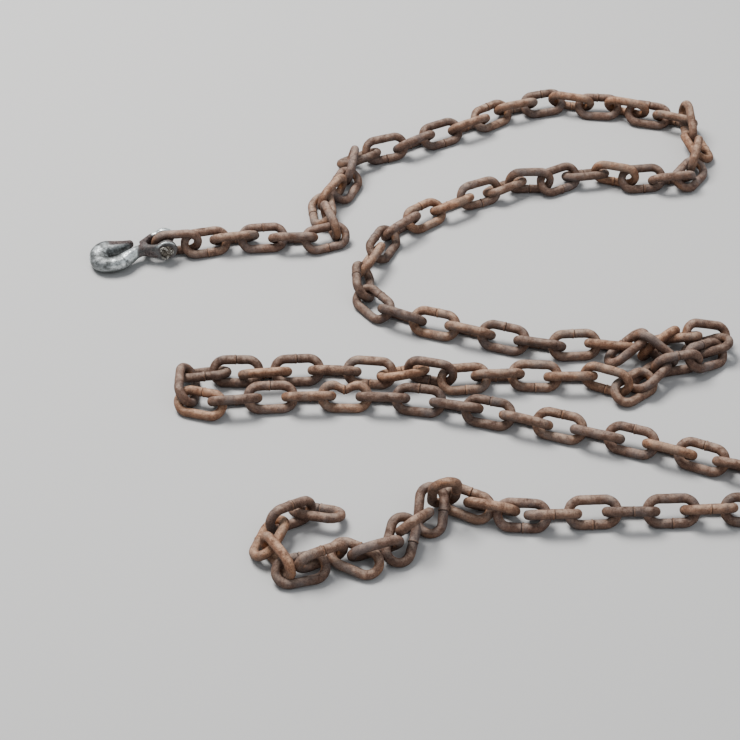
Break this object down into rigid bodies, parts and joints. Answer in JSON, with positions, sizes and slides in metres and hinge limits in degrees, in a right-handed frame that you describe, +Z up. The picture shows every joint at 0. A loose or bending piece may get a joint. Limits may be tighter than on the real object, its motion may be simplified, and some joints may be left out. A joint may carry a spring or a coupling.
{
  "type": "steel chain with grab hook",
  "caption": "Long rusty short-link steel chain dropped in loose bends, with a galvanised clevis grab hook on one end.",
  "frame": {"origin": "on the floor below the centre of the heap's box", "axes": "+Z up; +Y along the heap's longest reach, away from the viewer in front; +X to the viewer's right, with the hook on the -X side"},
  "size_m": [0.6644, 0.691, 0.0465],
  "materials": {
    "rusty_link": "matt brown rust, paler on top and orange where links rub",
    "galvanised_hook": "worn galvanised steel, polished at the belly and rusty at the neck",
    "rusty_pin": "dark matt rust"
  },
  "bodies": {
    "chain": {"link_pair_01": "rusty_link", "link_pair_02": "rusty_link", "link_pair_03": "rusty_link", "link_pair_04": "rusty_link", "link_pair_05": "rusty_link", "link_pair_06": "rusty_link", "link_pair_07": "rusty_link", "link_pair_08": "rusty_link", "link_pair_09": "rusty_link", "link_pair_10": "rusty_link", "link_pair_11": "rusty_link", "link_pair_12": "rusty_link", "link_pair_13": "rusty_link", "link_pair_14": "rusty_link", "link_pair_15": "rusty_link", "link_pair_16": "rusty_link", "link_pair_17": "rusty_link", "link_pair_18": "rusty_link", "link_pair_19": "rusty_link", "link_pair_20": "rusty_link", "link_pair_21": "rusty_link", "link_pair_22": "rusty_link", "link_pair_23": "rusty_link", "link_pair_24": "rusty_link", "link_pair_25": "rusty_link", "link_pair_26": "rusty_link", "link_pair_27": "rusty_link", "link_pair_28": "rusty_link", "link_pair_29": "rusty_link", "link_pair_30": "rusty_link", "link_pair_31": "rusty_link", "link_pair_32": "rusty_link", "link_pair_33": "rusty_link", "link_pair_34": "rusty_link", "link_pair_35": "rusty_link", "link_pair_36": "rusty_link", "link_pair_37": "rusty_link", "link_pair_38": "rusty_link", "link_pair_39": "rusty_link", "link_pair_40": "rusty_link", "link_pair_41": "rusty_link", "link_pair_42": "rusty_link", "link_pair_43": "rusty_link", "link_pair_44": "rusty_link", "link_pair_45": "rusty_link", "link_pair_46": "rusty_link", "link_pair_47": "rusty_link", "link_pair_48": "rusty_link", "link_pair_49": "rusty_link", "link_pair_50": "rusty_link", "link_pair_51": "rusty_link", "link_pair_52": "rusty_link", "link_pair_53": "rusty_link", "link_pair_54": "rusty_link", "link_pair_55": "rusty_link", "link_pair_56": "rusty_link", "link_pair_57": "rusty_link", "end_link": "rusty_link"},
    "hook": {"hook": "galvanised_hook", "clevis_pin": "rusty_pin"}
  },
  "joints": [
    {"name": "hook_swing", "type": "hinge", "parent": "chain", "child": "hook", "pos_m": [-0.25758, 0.0886, 0.01454], "axis": [0.225, -0.9744, 0], "range_deg": [-75, 75]}
  ]
}
